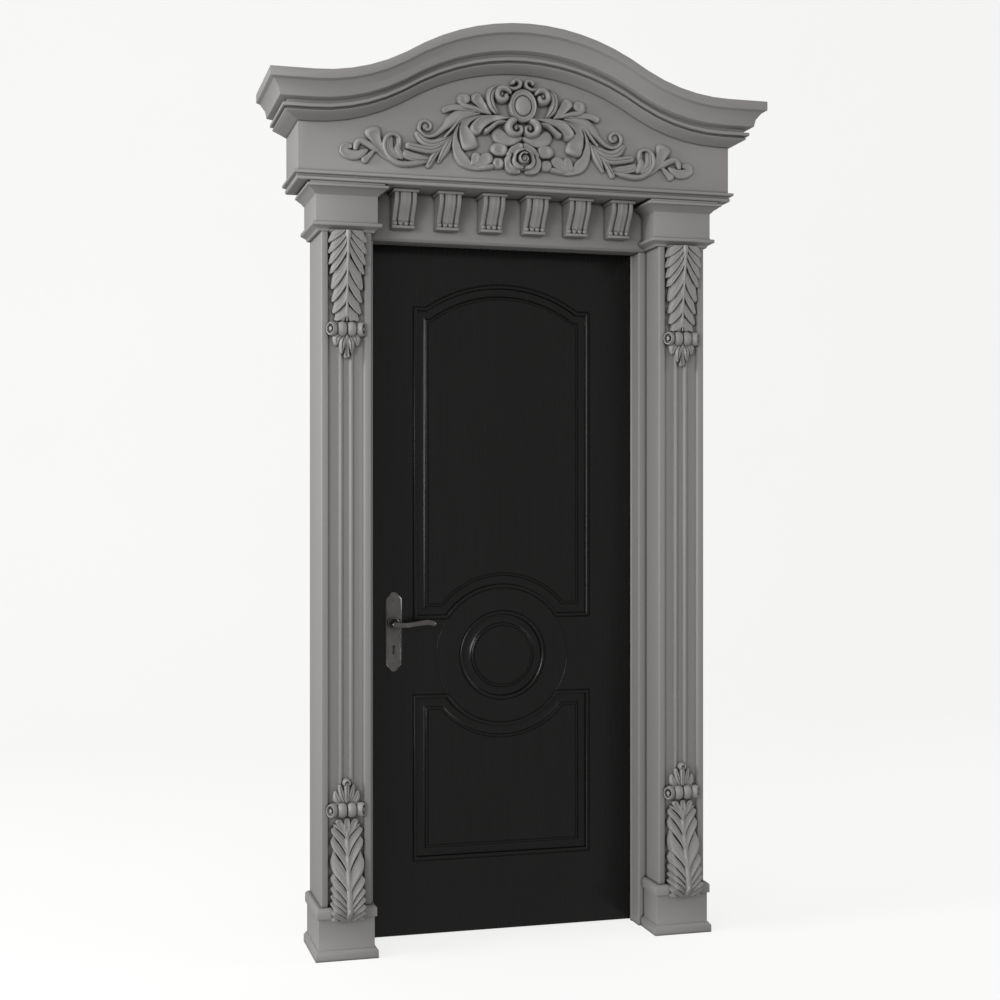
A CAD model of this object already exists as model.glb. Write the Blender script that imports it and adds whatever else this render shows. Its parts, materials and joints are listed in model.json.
# %% [markdown]
# # A door surround
# The object is a grey painted doorcase with a black panelled door. Its solids come ready packed,
# so this lesson only dresses them: softened edges, finer carving, paint and light.
# Loading comes first, and the box of the solids is kept to prove at the end that nothing grew.

# %% Load the frame
import json
import math
from bisect import bisect_right

import bmesh
import bpy
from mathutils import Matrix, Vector
from mathutils.geometry import interpolate_bezier


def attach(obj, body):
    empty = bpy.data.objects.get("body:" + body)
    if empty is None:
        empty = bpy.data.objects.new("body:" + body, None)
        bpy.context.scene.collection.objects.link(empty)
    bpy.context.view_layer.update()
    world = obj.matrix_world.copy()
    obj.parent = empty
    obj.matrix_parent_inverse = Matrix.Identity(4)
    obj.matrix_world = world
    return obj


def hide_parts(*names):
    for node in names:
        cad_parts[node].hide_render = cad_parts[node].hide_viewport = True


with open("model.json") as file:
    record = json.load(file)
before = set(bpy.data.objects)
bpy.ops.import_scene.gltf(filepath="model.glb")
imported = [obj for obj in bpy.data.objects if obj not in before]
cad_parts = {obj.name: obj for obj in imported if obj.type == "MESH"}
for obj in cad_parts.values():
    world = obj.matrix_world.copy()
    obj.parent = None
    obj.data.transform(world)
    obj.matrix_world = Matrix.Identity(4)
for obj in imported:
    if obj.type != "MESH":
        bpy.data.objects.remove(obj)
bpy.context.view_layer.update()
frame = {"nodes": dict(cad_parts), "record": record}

# %% [markdown]
# ## Units
# A joiner measures from the floor in millimetres, but the part's origin is at its wall fixing,
# 2.3 m up. One small function turns the joiner's numbers into the scene's metres, so every size
# below reads as it would on a drawing.

# %% Joiner's millimetres to metres
FIXING_HEIGHT = 2300


def spot(x, y, z):
    return Vector((x, y, z - FIXING_HEIGHT)) / 1000


print("floor level:", spot(0, 0, 0).z)

# %% [markdown]
# ## Camera
# The photograph was taken from the left with the camera level, because all its uprights are
# parallel. A level camera is turned by one angle only, and the lens is given by its field of view.

# %% Camera
CAMERA_TURN = 15.54
CAMERA_LENS, SENSOR_WIDTH = 56.76, 36
CAMERA_PLACE = spot(-1282.1, -4617.4, 1296.1)
camera_data = bpy.data.cameras.new("camera")
camera_data.lens = CAMERA_LENS
camera_data.sensor_width = SENSOR_WIDTH
camera = bpy.data.objects.new("camera", camera_data)
camera.location = CAMERA_PLACE
camera.rotation_euler = (math.pi / 2, 0, -math.radians(CAMERA_TURN))
bpy.context.collection.objects.link(camera)
bpy.context.scene.camera = camera
print("camera at", tuple(round(c, 3) for c in camera.location))

# %% [markdown]
# ## Light and floor
# A studio picture on white needs light from everywhere and a little more from one side. The sky
# gives the even part, a large lamp at the left front models the carving, one at the left side
# brightens the returns, a weak one at the right keeps the far edges alive and another by the camera
# fills the recesses. A pale floor that bends up into a wall gives a background with no horizon line.
# The floor is kept out of the bounced light and the reflections, and the fill out of the reflections,
# so that undersides stay dark and the black door stays even.

# %% Light
SKY_TINT, SKY_STRENGTH = (1, 0.995, 0.985, 1), 0.39
LAMP_SIZE = 2.6
LAMP_TARGET = Vector((0, 0, -0.9))
world = bpy.data.worlds.new("studio")
world.use_nodes = True
world.node_tree.nodes["Background"].inputs["Color"].default_value = SKY_TINT
world.node_tree.nodes["Background"].inputs["Strength"].default_value = SKY_STRENGTH
bpy.context.scene.world = world
bpy.context.scene.view_settings.view_transform = "Standard"


def soft_lamp(name, place, power):
    data = bpy.data.lights.new(name, "AREA")
    data.size = LAMP_SIZE
    data.energy = power
    lamp = bpy.data.objects.new(name, data)
    lamp.location = place
    lamp.rotation_euler = (LAMP_TARGET - lamp.location).to_track_quat("-Z", "Y").to_euler()
    bpy.context.collection.objects.link(lamp)
    print("lamp", name, power, "W")
    return lamp


soft_lamp("left_lamp", (-6, -1.1, 0.8), 340)
soft_lamp("right_lamp", (6, -2.2, 0.8), 80)
soft_lamp("front_lamp", (-4.4, -5.4, 0.0), 178)
fill_lamp = soft_lamp("fill_lamp", (-1.6, -6.4, -0.4), 76)
fill_lamp.visible_glossy = False

# %% Floor and backdrop
FLOOR_WIDTH, FLOOR_LENGTH = 30, 20
FLOOR_FRONT = -9
FLAT_LENGTH, BEND_LENGTH = 13, 4
BEND_RADIUS = BEND_LENGTH / (math.pi / 2)
floor_bm = bmesh.new()
bmesh.ops.create_grid(floor_bm, x_segments=1, y_segments=40, size=0.5)
for v in floor_bm.verts:
    run = (v.co.y + 0.5) * FLOOR_LENGTH
    angle = min(max(run - FLAT_LENGTH, 0), BEND_LENGTH) / BEND_RADIUS
    back = FLOOR_FRONT + min(run, FLAT_LENGTH) + BEND_RADIUS * math.sin(angle)
    rise = BEND_RADIUS * (1 - math.cos(angle)) + max(run - FLAT_LENGTH - BEND_LENGTH, 0)
    v.co = Vector((v.co.x * FLOOR_WIDTH, back, spot(0, 0, 0).z + rise))
floor_mesh = bpy.data.meshes.new("studio_floor")
floor_bm.to_mesh(floor_mesh)
floor_bm.free()
for polygon in floor_mesh.polygons:
    polygon.use_smooth = True
studio_floor = bpy.data.objects.new("studio_floor", floor_mesh)
bpy.context.collection.objects.link(studio_floor)
print("floor faces:", len(floor_mesh.polygons))

# %% [markdown]
# ## A small language for finishes
# A finish is a tree of nodes. Writing the tree as sums and products keeps it readable, so one
# small class wraps a socket and lets Python's operators add Math nodes, and one method adds any
# other node from its type, its settings and its sockets.


# %% Shader toolkit
class Value:
    def __init__(self, finish, socket):
        self.finish = finish
        self.socket = socket

    def _math(self, operation, first, second):
        node = self.finish.node("ShaderNodeMath", {"operation": operation}, {0: first, 1: second})
        return Value(self.finish, node.outputs[0])

    def __add__(self, other):
        return self._math("ADD", self, other)

    __radd__ = __add__

    def __sub__(self, other):
        return self._math("SUBTRACT", self, other)

    def __rsub__(self, other):
        return self._math("SUBTRACT", other, self)

    def __mul__(self, other):
        return self._math("MULTIPLY", self, other)

    __rmul__ = __mul__


class Finish:
    def __init__(self, name):
        self.material = bpy.data.materials.new(name)
        self.material.use_nodes = True
        self.tree = self.material.node_tree
        self.shader = self.tree.nodes["Principled BSDF"]

    def node(self, kind, settings, sockets):
        made = self.tree.nodes.new(kind)
        for key, setting in settings.items():
            setattr(made, key, setting)
        for key, given in sockets.items():
            self.feed(made.inputs[key], given)
        return made

    def feed(self, socket, given):
        if isinstance(given, Value):
            self.tree.links.new(given.socket, socket)
        else:
            socket.default_value = given

    def value(self, kind, settings, sockets, out):
        return Value(self, self.node(kind, settings, sockets).outputs[out])

    def place(self, scale):
        where = self.value("ShaderNodeTexCoord", {}, {}, "Object")
        return self.value("ShaderNodeMapping", {}, {"Vector": where, "Scale": scale}, "Vector")

    def noise(self, scale, detail, rough=0.5):
        sockets = {"Vector": self.place(scale), "Scale": 1.0, "Detail": detail, "Roughness": rough}
        return self.value("ShaderNodeTexNoise", {}, sockets, "Fac")

    def mix(self, amount, low, high):
        made = self.node("ShaderNodeMix", {"data_type": "RGBA"}, {0: amount, 6: low, 7: high})
        return Value(self, made.outputs[2])

    def range(self, value, low, high, out_low, out_high):
        sockets = {0: value, 1: low, 2: high, 3: out_low, 4: out_high}
        return self.value("ShaderNodeMapRange", {"clamp": True}, sockets, 0)

    def hollow(self, distance):
        """Near 0 in a hollow and 1 on an open face, judged over the distance in metres."""
        return self.value("ShaderNodeAmbientOcclusion", {"samples": 8}, {"Distance": distance}, "AO")

    def bump(self, height, strength, distance):
        sockets = {"Height": height, "Strength": strength, "Distance": distance}
        self.feed(self.shader.inputs["Normal"], self.value("ShaderNodeBump", {}, sockets, "Normal"))

    def set(self, **sockets):
        for name, given in sockets.items():
            self.feed(self.shader.inputs[name.replace("_", " ")], given)


print("toolkit ready")

# %% [markdown]
# ## Grey paint
# The surround is timber under a warm grey satin paint. Sprayed paint is nearly even, so its life
# comes from three small things: a slow drift in tone, a faint brushed texture, and a darker tone
# where paint and shadow gather in the hollows of the carving.

# %% Surround paint
GREY_LOW, GREY_HIGH = (0.205, 0.200, 0.196, 1), (0.238, 0.233, 0.229, 1)
HOLLOW_GREY = (0.035, 0.034, 0.033, 1)
HOLLOW_REACH = 0.011
surround_paint = Finish("surround_paint")
drift = surround_paint.noise((2.2, 2.2, 1.1), 3.0)
even = surround_paint.mix(drift, GREY_LOW, GREY_HIGH)
gathered = surround_paint.range(surround_paint.hollow(HOLLOW_REACH), 0.25, 0.85, 0.0, 1.0)
surround_paint.set(Base_Color=surround_paint.mix(gathered, HOLLOW_GREY, even))
brushed = surround_paint.noise((420, 420, 60), 2.0)
surround_paint.set(Roughness=0.46 + 0.14 * brushed)
surround_paint.bump(brushed + 0.6 * surround_paint.noise((90, 90, 90), 2.0), 0.25, 0.0004)
print("surround paint nodes:", len(surround_paint.tree.nodes))

# %% [markdown]
# ## Black door paint
# The leaf is painted black over open-grained wood, so the grain still shows as fine upright lines
# in the sheen. A noise stretched along the height makes the lines, and it drives the tone, the
# roughness and the bump together, as one real grain would.

# %% Door paint
BLACK_LOW, BLACK_HIGH = (0.0020, 0.0019, 0.0018, 1), (0.0050, 0.0047, 0.0044, 1)
DOOR_SHEEN = 0.37
door_paint = Finish("door_paint")
grain = door_paint.noise((230, 230, 3.2), 4.0, 0.62)
cloud = door_paint.noise((3.5, 3.5, 1.2), 2.0)
door_tone = door_paint.range(grain * 0.7 + cloud * 0.3, 0.3, 0.7, 0.0, 1.0)
door_paint.set(Base_Color=door_paint.mix(door_tone, BLACK_LOW, BLACK_HIGH))
door_paint.set(Roughness=0.2 + 0.14 * grain)
door_paint.shader.inputs["Specular IOR Level"].default_value = DOOR_SHEEN
door_paint.bump(grain, 0.3, 0.0004)
print("door paint nodes:", len(door_paint.tree.nodes))

# %% [markdown]
# ## Pewter and steel
# The handle set is plated and then aged: dark in its hollows, rubbed bright where hands and cloths
# reach. The hidden hinges are plain satin steel with fine lines from the rolling.

# %% Handle and hinge metals
PEWTER_DARK, PEWTER_WORN = (0.025, 0.024, 0.023, 1), (0.2, 0.195, 0.187, 1)
STEEL_LOW, STEEL_HIGH = (0.2, 0.197, 0.192, 1), (0.29, 0.285, 0.28, 1)
handle_pewter = Finish("handle_pewter")
patina = handle_pewter.noise((45, 45, 30), 3.0, 0.5)
rubbed = handle_pewter.range(handle_pewter.hollow(0.006), 0.5, 0.95, 0.0, 1.0)
worn = handle_pewter.range(patina, 0.3, 0.7, 0.7, 1.0) * rubbed
handle_pewter.set(Base_Color=handle_pewter.mix(worn, PEWTER_DARK, PEWTER_WORN))
handle_pewter.set(Roughness=0.38 - 0.16 * worn, Metallic=0.95)
handle_pewter.bump(patina, 0.1, 0.0002)

hinge_steel = Finish("hinge_steel")
rolled = hinge_steel.noise((600, 600, 20), 2.0)
hinge_steel.set(Base_Color=hinge_steel.mix(rolled, STEEL_LOW, STEEL_HIGH))
hinge_steel.set(Roughness=0.32 + 0.16 * rolled, Metallic=1.0)
print("metal nodes:", len(handle_pewter.tree.nodes), len(hinge_steel.tree.nodes))

# %% [markdown]
# ## Backdrop, and finishes on the solids
# A paper backdrop is lit by its own lamps, and a little emission stands for them: it keeps the ground
# near white without more light on the part. Then every solid gets the finish that its record names.

# %% Backdrop and slots
PAPER_LOW, PAPER_HIGH = (0.155, 0.155, 0.154, 1), (0.17, 0.17, 0.169, 1)
PAPER_GLOW = 0.8
backdrop = Finish("backdrop")
dust = backdrop.noise((1.5, 1.5, 1.5), 2.0)
backdrop.set(Base_Color=backdrop.mix(dust, PAPER_LOW, PAPER_HIGH), Roughness=0.9)
backdrop.shader.inputs["Emission Color"].default_value = (1, 1, 0.995, 1)
backdrop.shader.inputs["Emission Strength"].default_value = PAPER_GLOW
studio_floor.data.materials.append(backdrop.material)
studio_floor.visible_diffuse = False
studio_floor.visible_glossy = False
FINISHES = {
    "surround_paint": surround_paint,
    "door_paint": door_paint,
    "handle_pewter": handle_pewter,
    "hinge_steel": hinge_steel,
}
for row in frame["record"]["subparts"]:
    node = frame["nodes"][row["node"]]
    node.data.materials.clear()
    node.data.materials.append(FINISHES[row["material_slot"]].material)
print("finishes on", len(frame["nodes"]), "solids")

# %% [markdown]
# ## From a bmesh to a piece
# Every new piece ends the same way: doubles merged, normals turned out, soft faces with the true
# arrises kept sharp, then a ride on its body and the name of the solid that it stands for.


# %% Finish a piece
def make_piece(bm, name, slot, nodes, body="surround", sharp=38):
    bmesh.ops.remove_doubles(bm, verts=bm.verts, dist=2e-6)
    bmesh.ops.recalc_face_normals(bm, faces=bm.faces)
    for face in bm.faces:
        face.smooth = True
    for edge in bm.edges:
        if len(edge.link_faces) == 2:
            edge.smooth = edge.calc_face_angle(0) < math.radians(sharp)
    mesh = bpy.data.meshes.new(name)
    bm.to_mesh(mesh)
    bm.free()
    mesh.materials.append(FINISHES[slot].material)
    piece = bpy.data.objects.new(name, mesh)
    bpy.context.collection.objects.link(piece)
    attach(piece, body)
    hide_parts(*nodes)
    print(name, "faces:", len(mesh.polygons))
    return piece


# %% [markdown]
# ## Softened mouldings
# The mouldings, boards and blocks already have their true profiles. What paint and sanding add is
# a tiny round on every arris, which catches the light. A copy of each solid is merged, its flat
# triangles are dissolved into whole faces, and a bevel of about a millimetre rounds the arrises.


# %% Soften the arrises
ARRIS = 0.0013
FLAT_ANGLE, ARRIS_ANGLE = math.radians(0.6), math.radians(27)


def softened(node):
    bm = bmesh.new()
    bm.from_mesh(frame["nodes"][node].data)
    bmesh.ops.remove_doubles(bm, verts=bm.verts, dist=2e-5)
    bmesh.ops.dissolve_limit(bm, angle_limit=FLAT_ANGLE, verts=bm.verts, edges=bm.edges)
    arrises = [e for e in bm.edges if e.is_manifold and e.calc_face_angle(0) > ARRIS_ANGLE]
    bmesh.ops.bevel(
        bm, geom=arrises, offset=ARRIS, offset_type="OFFSET", segments=2, profile=0.5,
        affect="EDGES", material=-1, clamp_overlap=True,
    )
    return make_piece(bm, node + "_softened", "surround_paint", [node])


SIDES = ("left", "right")
for node in ["cornice", "frieze_board", "string_course", "header_board"]:
    softened(node)
for side in SIDES:
    for node in ["capital", "plinth", "jamb_lining", "pilaster"]:
        softened(f"{node}_{side}")

# %% [markdown]
# ## A carver's stroke
# Carved leaves are built of strokes: ridges that follow a smooth line, swell, narrow and end round
# or in a point. They could be sculpted by hand, but a UV sphere already has two poles for the two
# ends, so each stroke here is a ball drawn out along a route. Its width follows a short list of
# half widths, its crown may be dished like a spoon or cut by veins, and its back stays flat.


# %% Routes
class Route:
    """A smooth line through points given as (across, height) in millimetres."""

    def __init__(self, points):
        knots = [Vector((x, 0, z)) for x, z in points]
        spare = [2 * knots[0] - knots[1], *knots, 2 * knots[-1] - knots[-2]]
        self.spots = [knots[0]]
        for before, start, end, after in zip(spare, spare[1:], spare[2:], spare[3:]):
            handles = (start + (end - before) / 6, end - (after - start) / 6)
            self.spots += interpolate_bezier(start, *handles, end, 13)[1:]
        self.marks = [0.0]
        for start, end in zip(self.spots, self.spots[1:]):
            self.marks.append(self.marks[-1] + (end - start).length)
        self.length = self.marks[-1]

    def at(self, share):
        reach = min(max(share, 0), 1) * self.length
        index = min(max(bisect_right(self.marks, reach) - 1, 0), len(self.spots) - 2)
        start, end = self.spots[index], self.spots[index + 1]
        return start.lerp(end, (reach - self.marks[index]) / (end - start).length)

    def ahead(self, share):
        return (self.at(share + 0.012) - self.at(share - 0.012)).normalized()


def smooth(value, low, high):
    share = min(max((value - low) / (high - low), 0), 1)
    return share * share * (3 - 2 * share)


def between(values, share):
    index = min(int(share * (len(values) - 1)), len(values) - 2)
    part = smooth(share * (len(values) - 1) - index, 0, 1)
    return values[index] + (values[index + 1] - values[index]) * part


print("length of a quarter circle of 100 mm:", round(Route([(100, 0), (71, 71), (0, 100)]).length, 1))

# %% Strokes
CROWN_TURN = 0.82
VEIN_DEPTH = 0.2
VEIN_WIDE = 0.13


def crown(u, tip, dish, veins, blunt):
    height = max(1 - u * u, 0) ** blunt
    height -= dish * max(1 - (u / 0.74) ** 2, 0) * smooth(tip, 0.35, 1.1)
    for k in range(veins):
        middle = 2 * (k + 1) / (veins + 1) - 1
        height -= VEIN_DEPTH * math.exp(-(((u - middle) / VEIN_WIDE) ** 2)) * smooth(tip, 0.2, 1.4)
    return height


def joined(bm, part):
    mesh = bpy.data.meshes.new("part")
    part.to_mesh(mesh)
    part.free()
    bm.from_mesh(mesh)
    bpy.data.meshes.remove(mesh)


def section_point(v, rise, under, tip, bowl, veins, blunt):
    turn = math.atan2(v.co.y, v.co.x) / (2 * math.pi) % 1
    if turn < CROWN_TURN:
        u = math.cos(math.pi * turn / CROWN_TURN)
        return u, rise * crown(u, tip, bowl, veins, blunt)
    angle = math.pi * (turn - CROWN_TURN) / (1 - CROWN_TURN)
    return -math.cos(angle), -under * math.sin(angle)


def stroke(
    bm, points, wide, high, place, dish=0.0, veins=0, under=0.0, blunt=0.34, end=2.0, across=26, along=24,
):
    route = Route(points)
    part = bmesh.new()
    bmesh.ops.create_uvsphere(part, u_segments=across, v_segments=along, radius=1)
    rings = {}
    for v in part.verts:
        rings.setdefault(round(v.co.z, 5), []).append(v)
    for height, ring in rings.items():
        share = (1 - height) / 2
        half = between(wide, share)
        root, tip = share * route.length / half, (1 - share) * route.length / half
        cap = math.sqrt(1 - max(1 - root, 0) ** 2) * (1 - max(1 - tip, 0) ** end) ** (1 / end)
        rise = high * cap * (0.55 + 0.45 * half / max(wide))
        bowl = dish * smooth(share, 0.1, 0.5)
        centre, ahead = route.at(share), route.ahead(share)
        for v in ring:
            u, up = section_point(v, rise, under * cap, tip, bowl, veins, blunt)
            v.co = place(centre.x - ahead.z * u * half * cap, centre.z + ahead.x * u * half * cap, up)
    joined(bm, part)


def both_sides(bm, points, *shape, **more):
    stroke(bm, points, *shape, **more)
    stroke(bm, [(-x, z) for x, z in points], *shape, **more)


print("strokes ready, crown share", CROWN_TURN)

# %% [markdown]
# ## The carved spray
# The applique on the frieze is one carving: a cabochon in an oval ring, scrolls above and below it,
# a rose, and acanthus running out to both ends. It is symmetrical, so one list of strokes names the
# left half from the middle outwards, and every stroke is cut on both sides.

# %% Strokes of the spray
GROUND = -236.3
SPRAY = {
    "top curl": dict(
        points=[(-46, 2483), (-26, 2480), (-11, 2487), (-8, 2499), (-18, 2506), (-29, 2501), (-28, 2490)],
        wide=[6, 7, 7, 6.5, 7], high=12),
    "side scroll": dict(
        points=[(-34, 2463), (-47, 2478), (-63, 2481), (-75, 2471), (-76, 2457), (-66, 2447), (-54, 2448),
                (-50, 2457), (-58, 2462)],
        wide=[5, 10, 10, 10, 10, 9], high=14),
    "leaf behind the scroll": dict(
        points=[(-72, 2400), (-92, 2428), (-97, 2455), (-87, 2476), (-66, 2487)],
        wide=[7, 13, 13, 5], high=12, veins=1),
    "inner finger": dict(
        points=[(-92, 2399), (-118, 2424), (-146, 2460)], wide=[5, 14, 19], high=14, dish=0.45, end=2.6),
    "upper finger": dict(
        points=[(-98, 2402), (-142, 2418), (-172, 2424), (-192, 2440)], wide=[4, 7, 9, 8], high=12),
    "bulb of the upper finger": dict(
        points=[(-152, 2446), (-170, 2444), (-194, 2438)], wide=[12, 18, 17], high=13, dish=0.35),
    "long finger": dict(
        points=[(-106, 2405), (-160, 2415), (-205, 2417), (-238, 2406)],
        wide=[4, 7, 10, 10], high=11, dish=0.3),
    "volute leaf": dict(
        points=[(-136, 2406), (-196, 2388), (-230, 2358), (-260, 2334), (-286, 2331), (-304, 2348),
                (-299, 2369), (-283, 2374), (-270, 2363), (-275, 2350), (-286, 2350)],
        wide=[5, 14, 20, 17, 9, 6.5, 6.5, 6, 6, 5.5, 5], high=13, along=40),
    "disc of the side scroll": dict(
        points=[(-73, 2464), (-62, 2464), (-51, 2464)], wide=[12, 13, 12], high=9),
    "disc of the low scroll": dict(
        points=[(-34, 2369), (-22, 2369), (-8, 2369)], wide=[12, 14, 12], high=11),
    "disc of the volute": dict(
        points=[(-296, 2356), (-285, 2358), (-274, 2360)], wide=[11, 12, 11], high=6),
    "outer rib": dict(
        points=[(-126, 2404), (-180, 2388), (-208, 2356), (-232, 2328)], wide=[4, 5.5, 5, 4], high=14),
    "hook": dict(
        points=[(-104, 2398), (-150, 2390), (-174, 2366), (-164, 2336), (-153, 2298)],
        wide=[4, 9, 13, 25, 27], high=14, dish=0.4, end=4),
    "thumb": dict(
        points=[(-36, 2394), (-84, 2391), (-122, 2378), (-150, 2343)],
        wide=[4, 10, 18, 19], high=21, dish=0.42),
    "small thumb": dict(
        points=[(-42, 2384), (-74, 2381), (-94, 2366), (-118, 2348)], wide=[4, 7, 8.5, 10], high=16),
    "lower curve": dict(
        points=[(-186, 2378), (-199, 2342), (-196, 2306), (-184, 2278), (-154, 2253), (-106, 2246)],
        wide=[3, 7, 14, 19, 10, 4], high=13, dish=0.3),
    "inner lobe of the broken leaf": dict(
        points=[(-156, 2252), (-142, 2268), (-133, 2294)], wide=[7, 14, 13], high=12, dish=0.3),
    "outer lobe of the broken leaf": dict(
        points=[(-146, 2254), (-118, 2268), (-88, 2288)], wide=[8, 20, 17], high=11, dish=0.35),
    "cheek": dict(
        points=[(2, 2345), (-32, 2332), (-62, 2338), (-85, 2364)],
        wide=[7, 17, 23, 17], high=10, dish=0.25),
    "low scroll": dict(
        points=[(-16, 2393), (-37, 2384), (-44, 2367), (-35, 2352), (-18, 2349), (-6, 2358), (-9, 2371),
                (-18, 2368)],
        wide=[7, 13, 13, 11, 9, 8, 6], high=17),
    "upper bud": dict(points=[(-97, 2304), (-70, 2304), (-42, 2300)], wide=[17, 20, 19], high=12, dish=0.4),
    "lower bud": dict(
        points=[(-92, 2264), (-72, 2264), (-52, 2264)], wide=[16, 17, 16], high=11, dish=0.35),
    "tip leaf": dict(points=[(-140, 2247), (-112, 2251), (-82, 2256)], wide=[3, 9, 8], high=10),
    "drooping leaf": dict(
        points=[(-204, 2344), (-224, 2306), (-250, 2254)], wide=[4, 14, 5], high=11, veins=1),
    "lower side leaf": dict(
        points=[(-220, 2322), (-254, 2286), (-282, 2240)], wide=[3, 9, 9], high=10, veins=1),
    "upper side leaf": dict(
        points=[(-208, 2334), (-256, 2311), (-290, 2314), (-316, 2342)],
        wide=[5, 13, 14, 8], high=12, veins=1),
    "middle side leaf": dict(
        points=[(-216, 2319), (-262, 2293), (-304, 2295), (-346, 2303)],
        wide=[3, 12, 12, 11], high=12, veins=1),
    "veined leaf": dict(
        points=[(-262, 2268), (-310, 2266), (-356, 2280)], wide=[4, 15, 14], high=9, veins=2),
    "crescent": dict(
        points=[(-360, 2300), (-362, 2322), (-382, 2331), (-401, 2317), (-405, 2290), (-387, 2261),
                (-350, 2247), (-278, 2257)],
        wide=[5, 6, 7, 7, 8, 9, 8, 3], high=13, along=40),
    "eye leaf": dict(
        points=[(-386, 2330), (-392, 2306), (-388, 2282), (-362, 2259)],
        wide=[10, 14, 17, 9], high=9, veins=1),
    "eye hook": dict(
        points=[(-366, 2328), (-362, 2304), (-367, 2287), (-352, 2258)], wide=[7, 9, 12, 9], high=9),
    "upright leaf": dict(
        points=[(-350, 2249), (-396, 2264), (-421, 2294), (-443, 2348)],
        wide=[3, 8, 16, 27], high=13, dish=0.42, end=3),
    "wave": dict(
        points=[(-418, 2277), (-450, 2297), (-474, 2306), (-485, 2293), (-488, 2276)],
        wide=[5, 10, 10, 9, 7], high=11),
    "tail curl": dict(
        points=[(-450, 2284), (-478, 2267), (-503, 2266), (-521, 2276), (-514, 2289), (-494, 2288)],
        wide=[5, 12, 15, 14, 11, 7], high=10, dish=0.35),
    "ball": dict(points=[(-430, 2284), (-446, 2268), (-468, 2246)], wide=[4, 8, 13], high=11, dish=0.2),
    "outer crescent of the rose": dict(
        points=[(-34, 2296), (-46, 2270), (-36, 2249), (-6, 2242)], wide=[6, 11, 12, 7], high=14, dish=0.3),
    "inner crescent of the rose": dict(
        points=[(-22, 2294), (-29, 2272), (-20, 2257), (0, 2252)], wide=[4, 7, 8, 6], high=19, dish=0.2),
    "top petal of the rose": dict(
        points=[(-50, 2285), (-30, 2303), (2, 2321)], wide=[7, 12, 12], high=13, dish=0.3),
    "inner arch of the rose": dict(
        points=[(-30, 2282), (-18, 2298), (4, 2306)], wide=[5, 7.5, 7.5], high=18),
}
RELIEF, CENTRE_SWELL, CENTRE_HALF = 1.4, 0.9, 120


def on_frieze(x, z, up):
    """The carving stands prouder round the cabochon than at its ends."""
    return spot(x, GROUND - up * (RELIEF + CENTRE_SWELL * math.exp(-((x / CENTRE_HALF) ** 2))), z)


spray_bm = bmesh.new()
for part in SPRAY.values():
    both_sides(spray_bm, place=on_frieze, **part)
print("strokes in the spray:", 2 * len(SPRAY))

# %% Rosebud and cabochon
BUD_HEIGHT = 2278
BUD_RADIUS, BUD_CLOSING = 17.5, 1.4
BUD_START, BUD_STEP, BUD_POINTS = 0.9, 0.95, 11
coil = []
for k in range(BUD_POINTS):
    angle, radius = BUD_START + BUD_STEP * k, BUD_RADIUS - BUD_CLOSING * k
    coil.append((radius * math.cos(angle), BUD_HEIGHT + radius * math.sin(angle)))
ROSE = {
    "coiled bud": dict(points=coil, wide=[5.5, 5, 4.5, 4], high=20, along=40),
    "bed": dict(points=[(-30, 2276), (0, 2276), (30, 2276)], wide=[24, 30, 24], high=13),
    "heart": dict(points=[(-18, 2278), (0, 2278), (18, 2278)], wide=[15, 17, 15], high=17.5),
}
for part in ROSE.values():
    stroke(spray_bm, place=on_frieze, **part)


def turned(bm, section, steps, place):
    """Spin a section of (reach, along) round its own axis and put each point in its place."""
    part = bmesh.new()
    rim = [part.verts.new((reach, 0, along)) for reach, along in section]
    edges = [part.edges.new(pair) for pair in zip(rim, rim[1:])]
    bmesh.ops.spin(
        part, geom=rim + edges, cent=(0, 0, 0), axis=(0, 0, 1), angle=2 * math.pi, steps=steps,
        use_merge=True,
    )
    bmesh.ops.remove_doubles(part, verts=part.verts, dist=1e-4)
    for v in part.verts:
        v.co = place(*v.co)
    joined(bm, part)


OVAL_HEIGHT, OVAL_TALL, OVAL_STEPS = 2432, 1.17, 56
OVAL_SECTION = [
    (0, 0), (41, 0), (41, 8), (40, 10.6), (37.8, 11.6), (35.6, 11), (33.8, 9.8), (31, 9.9), (28.6, 10),
    (26.6, 9.2), (25.6, 7.9), (24.6, 8.2), (23.6, 9.6), (21, 10.7), (16, 11.5), (9, 12), (0, 12.2),
]
turned(spray_bm, OVAL_SECTION, OVAL_STEPS, lambda x, z, up: on_frieze(x, OVAL_HEIGHT + OVAL_TALL * z, up))
make_piece(spray_bm, "spray_carving", "surround_paint", ["carved_spray"], sharp=50)

# %% [markdown]
# ## Consoles on the posts
# Each post has a hanging acanthus leaf at its head and a rising one at its foot. The leaf is one
# surface whose lobes overlap like shingles: every lobe starts low at the midrib, under the lobe before
# it, and swells to a rim, and a dark slit lies beyond the rim. A grid makes it, because its rows can
# follow the slits: each row leaves the midrib steeply and then bends out to the edge of the leaf.

# %% Blade of a console leaf
POST_CENTRE = 507
POST_FACE = -211
CORE_BACK = -199.3
REED_FACE = -208.6
LOBE_ROWS = (1.0, 0.94, 0.86, 0.77, 0.71, 0.65, 0.57, 0.49, 0.42, 0.36, 0.3, 0.2, 0.12, 0.05, 0.0)
LOBE_VEINS = ((0.71, 0.8), (0.36, 1.1))
VEIN_HALF = 0.06
LOBE_LOW, LOBE_HIGH = 3.5, 10.5
RIM_DROP = 1.8
EDGE_DROP = 0.5
SLIT_DEEP = 9
NOTCH = 8
TIP_ROUND, TIP_SHARE = 11, 0.45
DROOP_AT = 40
BLADE_COLUMNS = 36


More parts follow.
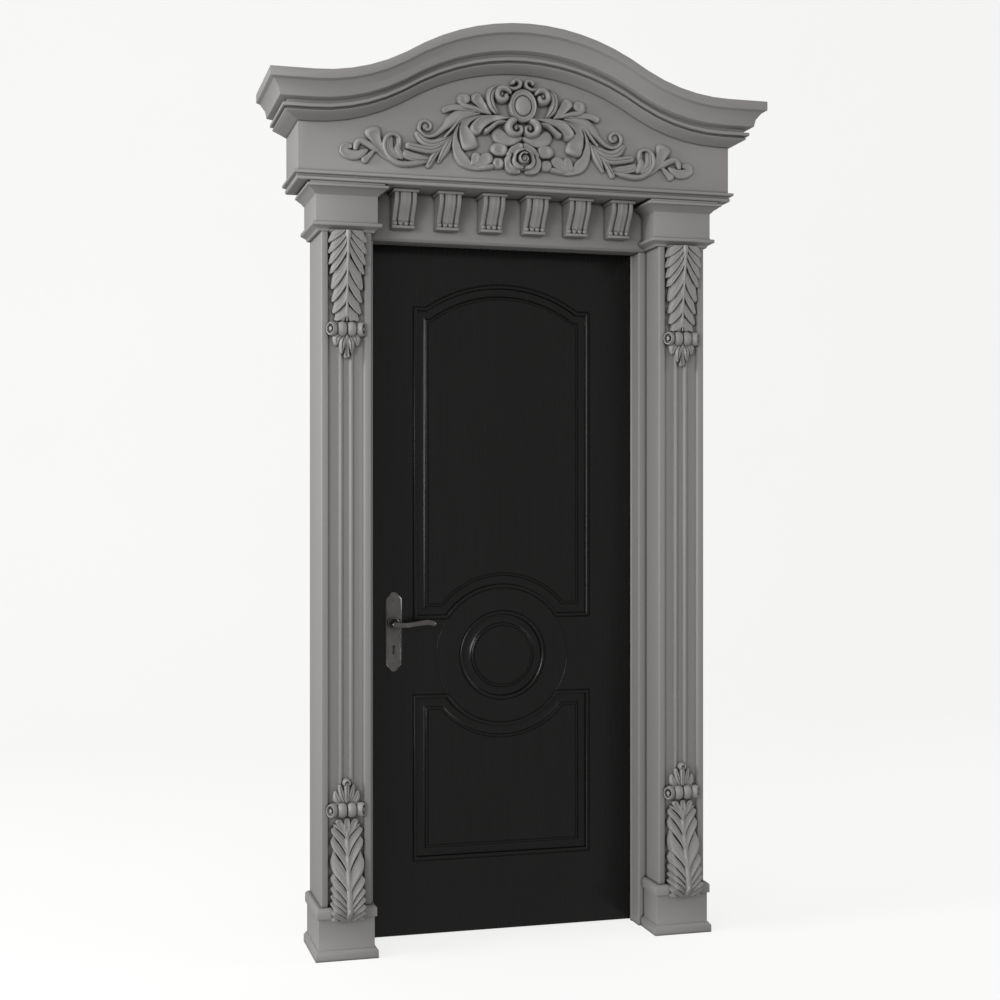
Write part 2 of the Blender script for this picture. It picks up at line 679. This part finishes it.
def lobe_height(f, out, slit):
    """Height over the belly: f runs from the lobe's rim (0) to its start under the next lobe (1)."""
    step = (LOBE_HIGH - LOBE_LOW) * (0.35 + 0.65 * slit) * smooth(out, 0.02, 0.2)
    height = LOBE_HIGH - step * f**1.15 - RIM_DROP * (1 - smooth(f, 0, 0.08)) * smooth(out, 0.02, 0.2)
    for vein, deep in LOBE_VEINS:
        height -= deep * math.exp(-(((f - vein) / VEIN_HALF) ** 2)) * smooth(out, 0.1, 0.4)
    open_slit = smooth(out, 0.05, 0.25) * (1 - smooth(out, 0.55, 0.95))
    height -= slit * SLIT_DEEP * smooth(f, 0.86, 1) * open_slit
    return height * (1 - EDGE_DROP * out**5)


def blade(bm, gaps, droops, halves, slits, way, power, front, cut):
    """A leaf with one lobe between each two gaps; a gap is its height at the midrib."""
    lobes = len(gaps) - 1
    rows = lobes * len(LOBE_ROWS)
    part = bmesh.new()
    bmesh.ops.create_grid(part, x_segments=BLADE_COLUMNS, y_segments=rows - 1, size=1)
    for v in part.verts:
        row = round((v.co.y + 1) / 2 * (rows - 1))
        lobe, f = row // len(LOBE_ROWS), LOBE_ROWS[row % len(LOBE_ROWS)]
        rim, start = lobe + 1, lobe
        root = gaps[rim] + (gaps[start] - gaps[rim]) * f
        droop = droops[rim] + (droops[start] - droops[rim]) * f
        half = halves[rim] + (halves[start] - halves[rim]) * f
        half -= NOTCH * smooth(f, 0.3, 1)
        half -= TIP_ROUND * (1 - math.sqrt(1 - max(1 - f / TIP_SHARE, 0) ** 2))
        out = abs(v.co.x)
        z = root + way * droop * (out * half / DROOP_AT) ** power
        v.co = front(v.co.x * half, z, lobe_height(f, out, slits[start]))
    pulled = bmesh.ops.extrude_face_region(part, geom=part.faces[:])
    for v in pulled["geom"]:
        if isinstance(v, bmesh.types.BMVert):
            v.co.y = CORE_BACK / 1000
    low, high = cut
    for height, way_out in ((low, -1), (high, 1)):
        sliced = bmesh.ops.bisect_plane(
            part, geom=part.verts[:] + part.edges[:] + part.faces[:], dist=1e-6,
            plane_co=spot(0, 0, height), plane_no=(0, 0, way_out), clear_outer=True,
        )
        rim = [e for e in sliced["geom_cut"] if isinstance(e, bmesh.types.BMEdge)]
        bmesh.ops.holes_fill(part, edges=rim, sides=0)
    joined(bm, part)


print("rows in a lobe:", len(LOBE_ROWS))

# %% [markdown]
# ## The roll and its leaves
# Under the hanging leaf and over the rising one lies a roll of four barrels. The inner two are plain
# cushions and the outer two are scrolls turned a little forward, so that the coil in their ends shows.
# Small leaves spring from the roll. The barrels are turned sections and the leaves are strokes.

# %% Barrels
BARREL = [
    (0, -1), (0.6, -1), (0.78, -0.9), (0.92, -0.6), (0.99, -0.2), (0.99, 0.2), (0.92, 0.6), (0.78, 0.9),
    (0.6, 1), (0, 1),
]
SCROLL_END = [
    (0, -1), (0.7, -1), (0.9, -0.8), (1, -0.2), (0.99, 0.3), (0.93, 0.75), (0.84, 0.98), (0.72, 0.95),
    (0.64, 0.6), (0.56, 0.2), (0.42, 0.12), (0.34, 0.4), (0.28, 0.85), (0, 0.98),
]
ROLL_RADIUS, ROLL_DEPTH = 21.5, 17
ROLL_STEPS = 30
INNER_AT, INNER_HALF, INNER_UP = 13.5, 12.8, 4
OUTER_AT, OUTER_HALF, OUTER_UP = 40, 12, 3
OUTER_TURN = math.radians(38)
OUTER_RADIUS = 0.96 * ROLL_RADIUS


def barrels(bm, height, place):
    for side in (-1, 1):

        def cushion(p, q, along):
            out = side * (INNER_AT + along * INNER_HALF)
            return place(out, height + p * ROLL_RADIUS, INNER_UP + q * ROLL_DEPTH)

        def scroll(p, q, along):
            axis, depth = along * OUTER_HALF, q * ROLL_DEPTH
            out = OUTER_AT + axis * math.cos(OUTER_TURN) - depth * math.sin(OUTER_TURN)
            up = OUTER_UP + depth * math.cos(OUTER_TURN) + axis * math.sin(OUTER_TURN)
            return place(side * out, height + p * OUTER_RADIUS, up)

        turned(bm, BARREL, ROLL_STEPS, cushion)
        turned(bm, SCROLL_END, ROLL_STEPS, scroll)


def block(bm, low, high, bevel):
    cube = bmesh.ops.create_cube(bm, size=1)
    for v in cube["verts"]:
        v.co = spot(*(a + (b - a) * (c + 0.5) for a, b, c in zip(low, high, v.co)))
    edges = list({edge for v in cube["verts"] for edge in v.link_edges})
    bmesh.ops.bevel(
        bm, geom=edges, offset=bevel / 1000, offset_type="OFFSET", segments=2, profile=0.5,
        affect="EDGES", material=-1,
    )


print("roll radius:", ROLL_RADIUS, "depth:", ROLL_DEPTH)

# %% Sizes of the two leaves
UPPER_LEAF = dict(
    gaps=[2090, 2076, 2063, 2050, 2034, 2005, 1953, 1910, 1860, 1815],
    droops=[10, 25, 40, 55, 70, 71, 69, 62, 46, 24],
    halves=[50, 52, 53, 53, 51, 47, 44, 43, 40, 32],
    slits=[0, 0.1, 0.2, 0.3, 0.5, 1, 0.6, 1, 0.8],
    way=-1, power=0.75)
UPPER_RIBS = [
    dict(points=[(0, 2058), (0, 1960), (0, 1798)], wide=[6, 4.5, 3], high=13),
    dict(points=[(0, 2062), (0, 2042), (0, 2016)], wide=[8, 9, 4], high=17),
]
UPPER_CURLS = [dict(points=[(3, 1836), (9, 1816), (15, 1797)], wide=[4, 9, 8], high=9)]
UPPER_TAIL = [
    dict(points=[(4, 1766), (25, 1756), (31, 1730)], wide=[8, 14, 6], high=14, veins=1),
    dict(points=[(2, 1764), (12, 1742), (14, 1708)], wide=[7, 11, 4], high=17, veins=1),
]
UPPER_TAIL_RIBS = [dict(points=[(0, 1766), (0, 1736), (0, 1695)], wide=[5, 6, 8], high=20, dish=0.5)]
LOWER_LEAF = dict(
    gaps=[372, 332, 281, 235, 183, 150, 136, 124, 112, 100, 88],
    droops=[20, 48, 72, 78, 64, 62, 52, 44, 36, 28, 20],
    halves=[24, 43, 46, 46, 46, 46, 46, 46, 47, 47, 47],
    slits=[0.5, 1.2, 1.3, 1.3, 1.3, 1, 0.9, 0.8, 0.7, 0.6],
    way=1, power=0.6)
LOWER_RIBS = [
    dict(points=[(0, 140), (0, 250), (0, 352)], wide=[11, 7, 3], high=12),
    dict(points=[(0, 119), (0, 134), (0, 160)], wide=[8, 10, 4], high=16),
    dict(points=[(0, 346), (0, 382), (0, 402)], wide=[5, 10, 8], high=15, dish=0.4),
]
LOWER_CURLS = [dict(points=[(3, 350), (15, 376), (28, 398)], wide=[5, 10, 9], high=13, dish=0.45)]
LOWER_FAN = [
    dict(points=[(6, 438), (24, 450), (33, 476)], wide=[8, 13, 6], high=12, veins=1),
    dict(points=[(3, 438), (13, 464), (20, 494)], wide=[6, 10, 6], high=15, veins=1),
]
LOWER_FAN_RIBS = [
    dict(points=[(0, 438), (0, 470), (0, 504)], wide=[6, 9, 9], high=18, veins=1),
    dict(points=[(-7, 490), (-7, 501), (0, 506), (7, 501), (7, 490)], wide=[4, 4.5, 5, 4.5, 4], high=21),
]
UPPER_FLAT, UPPER_SWELL, UPPER_SPAN = 4, 22, (1830, 2040)
LOWER_FLAT, LOWER_SWELL, LOWER_SPAN = 5, 50, (140, 370)
LOWER_TUCK, TUCK_SPAN = 22, (112, 152)


def upper_belly(z):
    return UPPER_FLAT + UPPER_SWELL * smooth(z, *UPPER_SPAN)


def lower_belly(z):
    swell = LOWER_SWELL * (1 - smooth(z, *LOWER_SPAN))
    return LOWER_FLAT + swell - LOWER_TUCK * (1 - smooth(z, *TUCK_SPAN))


print("lobes a side:", len(UPPER_LEAF["gaps"]) - 1, len(LOWER_LEAF["gaps"]) - 1)


# %% Consoles
BED_HALF, BED_RISE, BED_UP = 38, 20, 3
STROKE_UNDER = 2.5


def console(side, name, belly, leaf, strokes, small, roll_height, leaf_ends, ends):
    bm = bmesh.new()
    centre = POST_CENTRE if side == "right" else -POST_CENTRE
    low, high = ends

    def on_belly(x, z, up):
        return spot(centre + x, POST_FACE - belly(z) - up, min(max(z, low), high))

    def free_belly(x, z, up):
        return spot(centre + x, POST_FACE - belly(z) - up, z)

    def on_reeds(x, z, up):
        return spot(centre + x, REED_FACE - up, min(max(z, low), high))

    def on_roll(x, z, up):
        return spot(centre + x, POST_FACE - belly(roll_height) - up, z)

    blade(bm, front=free_belly, cut=leaf_ends, **leaf)
    bed_low = (centre - BED_HALF, POST_FACE - belly(roll_height) - BED_UP, roll_height - BED_RISE)
    block(bm, bed_low, (centre + BED_HALF, CORE_BACK, roll_height + BED_RISE), 1.5)
    barrels(bm, roll_height, on_roll)
    for place, (pairs, ribs), under in [(on_belly, strokes, STROKE_UNDER), (on_reeds, small, 0)]:
        for lobe in pairs:
            both_sides(bm, place=place, under=under, **lobe)
        for rib in ribs:
            stroke(bm, place=place, under=under, **rib)
    return make_piece(bm, f"{name}_{side}_carving", "surround_paint", [f"{name}_{side}"], sharp=50)


UPPER = dict(
    name="upper_console", belly=upper_belly, leaf=UPPER_LEAF, strokes=(UPPER_CURLS, UPPER_RIBS),
    small=(UPPER_TAIL, UPPER_TAIL_RIBS), roll_height=1778, leaf_ends=(1798, 2052.7), ends=(1690, 2052.7))
LOWER = dict(
    name="lower_console", belly=lower_belly, leaf=LOWER_LEAF, strokes=(LOWER_CURLS, LOWER_RIBS),
    small=(LOWER_FAN, LOWER_FAN_RIBS), roll_height=422, leaf_ends=(119, 402), ends=(119, 512))
for side in SIDES:
    console(side, **UPPER)
    console(side, **LOWER)

# %% [markdown]
# ## Corbels
# Six small brackets stand on the header board under the string course. Each has an S-shaped face with
# a round rib at both edges, a dark groove inside each rib and a broad band between, four beads in a
# row at the foot, a foot plate and a cap. The face is one grid: its rows follow the S and its columns
# follow the ribs, and a box for each plate gets a small bevel.

# %% Corbels
HEADER_FACE = -112.3
CORBEL_FOOT, CORBEL_TOP = 2082, 2189.5
CORBELS, CORBEL_PITCH = 6, 132
CORBEL_REACH, CORBEL_HALF = 76, 32
CAP_HALF, CAP_TALL, CAP_LIP = 38, 9, 6
FOOT_HALF, FOOT_TALL, FOOT_LIP = 33, 8, 4
LAP = 1
FACE_FOOT, FACE_TOP = CORBEL_FOOT + FOOT_TALL - LAP, CORBEL_TOP - CAP_TALL + LAP
FOOT_SHARE = 0.48
BAND_HALF, BAND_BACK, BAND_RISE, RIPPLE = 15.9, 3, 2.2, 0.7
RIB_CENTRE, RIB_HALF, RIB_BACK, RIB_RISE = 26.4, 5.8, 2.4, 2.6
GROOVE_DEEP = 6.5
BEADS, BEAD_PITCH, BEAD_UP, BEAD_BACK = 4, 16.4, 14, 4.5
BEAD_HALF = Vector((7.6, 8, 7))


def corbel_relief(x):
    out = abs(x)
    if out < BAND_HALF:
        ripple = RIPPLE * math.cos(2 * math.pi * out / BAND_HALF) * (out < 0.75 * BAND_HALF)
        return BAND_RISE * (1 - (out / BAND_HALF) ** 2) ** 0.2 - BAND_BACK + ripple
    if abs(out - RIB_CENTRE) < RIB_HALF:
        return RIB_RISE * (1 - ((out - RIB_CENTRE) / RIB_HALF) ** 2) ** 0.25 - RIB_BACK
    return -GROOVE_DEEP


def corbel(number):
    bm = bmesh.new()
    centre = (number - (CORBELS + 1) / 2) * CORBEL_PITCH
    grid = bmesh.ops.create_grid(bm, x_segments=64, y_segments=18, size=1)
    for v in grid["verts"]:
        share = (v.co.y + 1) / 2
        reach = CORBEL_REACH * (FOOT_SHARE + (1 - FOOT_SHARE) * smooth(share, 0.05, 0.85))
        x, z = v.co.x * CORBEL_HALF, FACE_FOOT + (FACE_TOP - FACE_FOOT) * share
        v.co = spot(centre + x, HEADER_FACE - reach - corbel_relief(x), z)
    faces = {face for v in grid["verts"] for face in v.link_faces}
    pulled = bmesh.ops.extrude_face_region(bm, geom=list(faces))
    for v in pulled["geom"]:
        if isinstance(v, bmesh.types.BMVert):
            v.co.y = HEADER_FACE / 1000
    cap_low = (centre - CAP_HALF, HEADER_FACE - CORBEL_REACH - CAP_LIP, CORBEL_TOP - CAP_TALL)
    block(bm, cap_low, (centre + CAP_HALF, HEADER_FACE, CORBEL_TOP), 1.6)
    foot_front = HEADER_FACE - CORBEL_REACH * FOOT_SHARE - FOOT_LIP
    foot_top = (centre + FOOT_HALF, HEADER_FACE, CORBEL_FOOT + FOOT_TALL)
    block(bm, (centre - FOOT_HALF, foot_front, CORBEL_FOOT), foot_top, 1.4)
    for k in range(BEADS):
        bead = bmesh.ops.create_uvsphere(bm, u_segments=20, v_segments=12, radius=1)
        across = centre + (k - (BEADS - 1) / 2) * BEAD_PITCH
        middle = Vector((across, foot_front + BEAD_BACK, CORBEL_FOOT + BEAD_UP))
        for v in bead["verts"]:
            v.co = spot(*(middle + v.co * BEAD_HALF))
    return make_piece(bm, f"corbel_{number}_carving", "surround_paint", [f"corbel_{number}"], sharp=45)


for number in range(1, CORBELS + 1):
    corbel(number)

# %% [markdown]
# ## The door leaf
# The leaf has two moulded panels cut round a ring, and a round medallion in the ring. Every moulding is
# the same section carried round a different outline: a groove, a round bead, a deep quirk, a cove, two
# small steps and the flat field. A grid is wrapped round each outline with one row for each point of
# the section, the fields are filled, and the flat face between them is one fill with holes.

# %% Outlines of the leaf
LEAF_HALF, LEAF_FOOT, LEAF_TOP, LEAF_THICK = 418, 4, 2057, 35
RING_HEIGHT, RING_RADIUS, RING_CUT = 829, 203, 113
MEDALLION_RADIUS = 133
PANEL_HALF, PANEL_FOOT, SHOULDER = 275, 224, 1870
ARCH_HALF, ARCH_RISE = 236, 74
ARCH_RADIUS = (ARCH_HALF**2 + ARCH_RISE**2) / (2 * ARCH_RISE)
ARCH_CENTRE = SHOULDER + ARCH_RISE - ARCH_RADIUS
ARC_STEPS = 28


def arc(centre, radius, start, end):
    angles = [start + (end - start) * k / ARC_STEPS for k in range(ARC_STEPS + 1)]
    return [(radius * math.cos(a), centre + radius * math.sin(a)) for a in angles]


def upper_panel(inset):
    half, foot, shoulder = PANEL_HALF - inset, RING_HEIGHT + RING_CUT + inset, SHOULDER - inset
    ring_angle = math.asin((RING_CUT + inset) / (RING_RADIUS + inset))
    arch_angle = math.asin((shoulder - ARCH_CENTRE) / (ARCH_RADIUS - inset))
    return [
        (half, foot), (half, shoulder),
        *arc(ARCH_CENTRE, ARCH_RADIUS - inset, arch_angle, math.pi - arch_angle),
        (-half, shoulder), (-half, foot),
        *arc(RING_HEIGHT, RING_RADIUS + inset, math.pi - ring_angle, ring_angle),
    ]


def lower_panel(inset):
    half, foot, top = PANEL_HALF - inset, PANEL_FOOT + inset, RING_HEIGHT - RING_CUT - inset
    ring_angle = -math.asin((RING_CUT + inset) / (RING_RADIUS + inset))
    return [
        (-half, foot), (half, foot), (half, top),
        *arc(RING_HEIGHT, RING_RADIUS + inset, ring_angle, -math.pi - ring_angle), (-half, top),
    ]


def ringed(x, z, radius, count):
    def outline(inset):
        turns = [2 * math.pi * k / count for k in range(count)]
        return [(x + (radius - inset) * math.cos(a), z + (radius - inset) * math.sin(a)) for a in turns]

    return outline


def leaf_edge(inset):
    half, foot, top = LEAF_HALF - inset, LEAF_FOOT + inset, LEAF_TOP - inset
    return [(-half, foot), (half, foot), (half, top), (-half, top)]


print("points round the upper panel:", len(upper_panel(0)))

# %% Wrap and fill
PANEL_SECTION = [
    (-2.8, 0), (-1.8, -2), (-0.5, -2), (0.5, 0.8), (2.2, 2.2), (5, 3), (7.8, 2.3), (9.6, 0.6), (10.2, -3),
    (10.8, -7.5), (12, -9.2), (15, -9.6), (24, -9), (31, -7.2), (35, -5.4), (36.2, -4.4), (37.4, -1.6),
    (39, -0.6), (42, -0.5), (43, -2), (44.8, -2), (46, 0.2), (48.2, 0),
]
BACK_SECTION = [(8.6, 0), (10, -0.7), (10.6, -4), (12, -4)]
EDGE_ROUND = [(0, 1.5), (0.4, 0.4), (1.5, 0)]
EDGE_SECTION = [(inset, LEAF_THICK - up) for inset, up in reversed(EDGE_ROUND)] + EDGE_ROUND


def wrapped(bm, outline, section, place):
    """Carry a section of (inset, up) round an outline and give back its first and last loops."""
    loops = [outline(inset) for inset, up in section]
    count, rows = len(loops[0]), len(section) - 1
    grid = bmesh.ops.create_grid(bm, x_segments=count, y_segments=rows, size=0.5)
    row_of = {v: round((v.co.y + 0.5) * rows) for v in grid["verts"]}
    for v in grid["verts"]:
        x, z = loops[row_of[v]][round((v.co.x + 0.5) * count) % count]
        v.co = place(x, z, section[row_of[v]][1])
    bmesh.ops.remove_doubles(bm, verts=grid["verts"], dist=1e-6)
    kept = [v for v in grid["verts"] if v.is_valid]
    edges = {edge for v in kept for edge in v.link_edges}
    ends = []
    for row in (0, rows):
        ends.append([e for e in edges if all(row_of.get(v) == row for v in e.verts)])
    return ends


def on_front(x, z, up):
    return spot(x, -LEAF_THICK - up, z)


def on_back(x, z, up):
    return spot(x, up, z)


def through(x, z, depth):
    return spot(x, -depth, z)


print("points in the panel section:", len(PANEL_SECTION))

# %% Leaf
HANDLE_X, SPINDLE_HEIGHT, SPINDLE_BORE = -336, 931, 7
RING_LINE_OUT, RING_LINE_HALF, RING_LINE_HIGH = 1.2, 1.7, 1.6
leaf_bm = bmesh.new()
fronts, backs = wrapped(leaf_bm, leaf_edge, EDGE_SECTION, through)
for outline in (upper_panel, lower_panel, ringed(0, RING_HEIGHT, MEDALLION_RADIUS, 72)):
    outer, field = wrapped(leaf_bm, outline, PANEL_SECTION, on_front)
    fronts += outer
    bmesh.ops.contextual_create(leaf_bm, geom=field)
for outline in (upper_panel, lower_panel):
    outer, field = wrapped(leaf_bm, outline, BACK_SECTION, on_back)
    backs += outer
    bmesh.ops.contextual_create(leaf_bm, geom=field)
spindle_hole = ringed(HANDLE_X, SPINDLE_HEIGHT, SPINDLE_BORE, 20)
outer, inner = wrapped(leaf_bm, spindle_hole, [(0, LEAF_THICK), (0, 0)], through)
bmesh.ops.triangle_fill(leaf_bm, use_beauty=True, edges=fronts + outer, normal=(0, -1, 0))
bmesh.ops.triangle_fill(leaf_bm, use_beauty=True, edges=backs + inner, normal=(0, 1, 0))
ring_turn = math.asin(RING_CUT / RING_RADIUS)
for start, end in [(-ring_turn, ring_turn), (math.pi - ring_turn, math.pi + ring_turn)]:
    ring_line = arc(RING_HEIGHT, RING_RADIUS + RING_LINE_OUT, start, end)
    stroke(leaf_bm, ring_line, [RING_LINE_HALF] * 2, RING_LINE_HIGH, on_front, across=10, along=40)
make_piece(leaf_bm, "door_leaf_moulded", "door_paint", ["door_leaf"], body="door", sharp=32)

# %% [markdown]
# ## Handle set
# A long plate with a bevelled rim and clipped ends carries a rosette, a keyhole and two screws on each
# face of the leaf. The levers are cast bars with a slight wave, thicker at the neck, and both turn
# with one spindle. The plate wraps its section round its outline, the rosette, neck and screws are
# turned, and the bar is one more stroke with a full round section.

# %% Plates
PLATE_HALF, PLATE_FOOT, PLATE_TOP = 26, 788, 1024
PLATE_GAP, PLATE_FACE, PLATE_BORE = 0.3, 4.1, 9.6
SHOULDER_DROP, SHOULDER_SHARE = 19, 0.45
BOW_RADIUS, BOW_ANGLE = 17, math.radians(32)
KEY_HEIGHT, KEY_RADIUS, KEY_HALF, KEY_DROP = 861, 5, 2.6, 21
SCREW_INSET = 22
PLATE_SECTION = [(0, 0), (0, 1.6), (0.6, 2.3), (4.4, 4.7), (5.2, 4.8), (5.9, 4.2), (6.6, 4.1)]
ROSETTE = [
    (18, 3.6), (18, 5.4), (16.6, 7), (14.4, 7.4), (13, 6.6), (12.4, 5.8), (11.4, 6.4), (10.4, 8.6),
    (9.8, 8.8), (9.6, 8.4), (9.6, 3.6), (18, 3.6),
]
SCREW = [(0, 3.8), (3.6, 3.8), (3.4, 4.8), (2.4, 5.4), (1.2, 5.5), (0.9, 4.9), (0, 4.9)]
KEYHOLE = [(0, 4.1), (0.7, 3.5), (0.8, 1)]


def plate_outline(inset):
    half = PLATE_HALF - inset
    top = PLATE_TOP - inset
    shoulder = PLATE_TOP - SHOULDER_DROP - inset * SHOULDER_SHARE
    bow = arc(top - BOW_RADIUS, BOW_RADIUS, BOW_ANGLE, math.pi - BOW_ANGLE)
    upper = [(half, shoulder), *bow, (-half, shoulder)]
    lower = [(-x, PLATE_FOOT + PLATE_TOP - z) for x, z in upper]
    return [(HANDLE_X + x, z) for x, z in upper + lower]


def keyhole(inset):
    bow = arc(0, KEY_RADIUS - inset, math.radians(-60), math.radians(240))
    half, drop = KEY_HALF - inset * 0.6, KEY_DROP - inset
    return [(HANDLE_X + x, KEY_HEIGHT + z) for x, z in [*bow, (-half, -drop), (half, -drop)]]


def outside(x, z, up):
    return spot(x, -LEAF_THICK - PLATE_GAP - up, z)


def inside(x, z, up):
    return spot(x, PLATE_GAP + up, z)


def round_spindle(place):
    return lambda x, z, up: place(HANDLE_X + x, SPINDLE_HEIGHT + z, up)


def backplate(name, place):
    bm = bmesh.new()
    back, field = wrapped(bm, plate_outline, PLATE_SECTION, place)
    mouth, floor = wrapped(bm, keyhole, KEYHOLE, place)
    bmesh.ops.contextual_create(bm, geom=floor)
    bore = ringed(HANDLE_X, SPINDLE_HEIGHT, PLATE_BORE, 32)
    bore_front, bore_back = wrapped(bm, bore, [(0, PLATE_FACE), (0, 0)], place)
    bmesh.ops.triangle_fill(bm, use_beauty=True, edges=field + mouth + bore_front)
    bmesh.ops.triangle_fill(bm, use_beauty=True, edges=back + bore_back)
    turned(bm, ROSETTE, 40, round_spindle(place))
    for height in (PLATE_TOP - SCREW_INSET, PLATE_FOOT + SCREW_INSET):
        turned(bm, SCREW, 20, lambda x, z, up: place(HANDLE_X + x, height + z, up))
    return make_piece(bm, name + "_cast", "handle_pewter", [name], body="door", sharp=40)


backplate("backplate_outer", outside)
backplate("backplate_inner", inside)

# %% Levers
LEVER_OUT = 52
BAR_HALF = [8.8, 9.2, 8.4, 8.2, 8.8, 8.8, 7.6]
BAR_DEEP = 6.8
NECK = [(0, 1), (9, 1), (9, 7), (8, 10), (7.4, 22), (7.6, 38), (8.4, 46), (7.8, 52), (5, 56), (0, 57)]
SPINDLE = [(0, -36), (5, -36), (5, 2), (0, 2)]
WAVE = [(-17, -1), (0, -1), (30, -2.5), (60, 1), (88, 4.5), (106, 2.5), (119, -4)]


def lever(name, place, spindle):
    bm = bmesh.new()
    on_axis = round_spindle(place)
    turned(bm, NECK, 32, on_axis)
    if spindle:
        turned(bm, SPINDLE, 24, on_axis)
    stroke(
        bm, WAVE, BAR_HALF, BAR_DEEP, lambda x, z, up: on_axis(x, z, LEVER_OUT + up),
        under=BAR_DEEP, blunt=0.5, across=36, along=48,
    )
    return make_piece(bm, name + "_cast", "handle_pewter", [name], body="lever", sharp=45)


lever("lever_outer", outside, True)
lever("lever_inner", inside, False)
